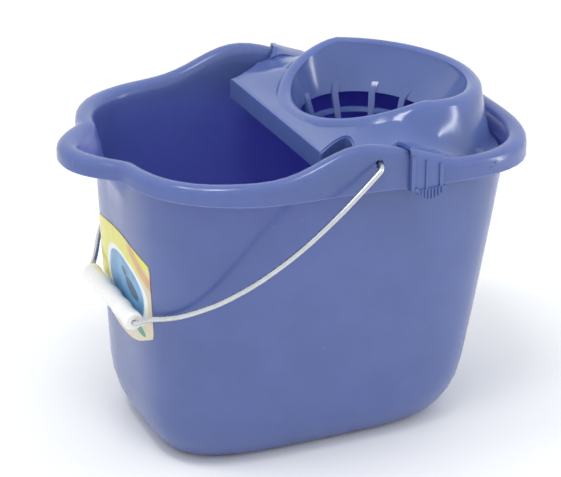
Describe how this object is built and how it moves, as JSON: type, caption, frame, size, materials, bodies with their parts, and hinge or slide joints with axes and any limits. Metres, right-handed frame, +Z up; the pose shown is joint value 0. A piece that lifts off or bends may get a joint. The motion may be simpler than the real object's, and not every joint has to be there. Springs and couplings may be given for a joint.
{
  "type": "mop bucket with wringer",
  "caption": "Oval plastic mop bucket with pouring spout, wire bail with hand grip, and a clip-in conical wringer set over its rear half.",
  "frame": {"origin": "middle of the bounding box at floor level, on the foot ring's plane", "axes": "+Z up, +X along the bucket from the pouring spout to the wringer end, +Y across, along the bail's hinge line"},
  "size_m": [0.3936, 0.313, 0.3009],
  "materials": {
    "bucket_plastic": "moulded polypropylene, satin gloss",
    "wringer_plastic": "moulded polypropylene, satin gloss",
    "label_film": null,
    "zinc_wire": "bright zinc plated wire",
    "grip_plastic": "white moulded plastic"
  },
  "bodies": {
    "bucket": {"bucket_tub": "bucket_plastic", "label": "label_film"},
    "wringer": {"wringer_funnel": "wringer_plastic", "wringer_basket": "wringer_plastic"},
    "latch_left": {"latch_left": "wringer_plastic"},
    "latch_right": {"latch_right": "wringer_plastic"},
    "bail": {"bail_wire": "zinc_wire"},
    "grip": {"grip": "grip_plastic"}
  },
  "joints": [
    {"name": "wringer_lift", "type": "slide", "parent": "bucket", "child": "wringer", "axis": [0, 0, 1], "range_m": [0, 0.21]},
    {"name": "latch_left_flex", "type": "hinge", "parent": "wringer", "child": "latch_left", "pos_m": [0.06325, 0.1382, 0.27926], "axis": [0.9385, 0, -0.3452], "range_deg": [0, 25], "stiffness_Nm_per_rad": 0.3},
    {"name": "latch_right_flex", "type": "hinge", "parent": "wringer", "child": "latch_right", "pos_m": [0.06325, -0.1382, 0.27926], "axis": [-0.9385, 0, 0.3452], "range_deg": [0, 25], "stiffness_Nm_per_rad": 0.3},
    {"name": "bail_swing", "type": "hinge", "parent": "bucket", "child": "bail", "pos_m": [0.02175, 0, 0.27559], "axis": [0, 1, 0], "range_deg": [0, 267]},
    {"name": "grip_spin", "type": "hinge", "parent": "bail", "child": "grip", "pos_m": [-0.15661, 0, 0.13197], "axis": [0, 1, 0], "continuous": true}
  ]
}
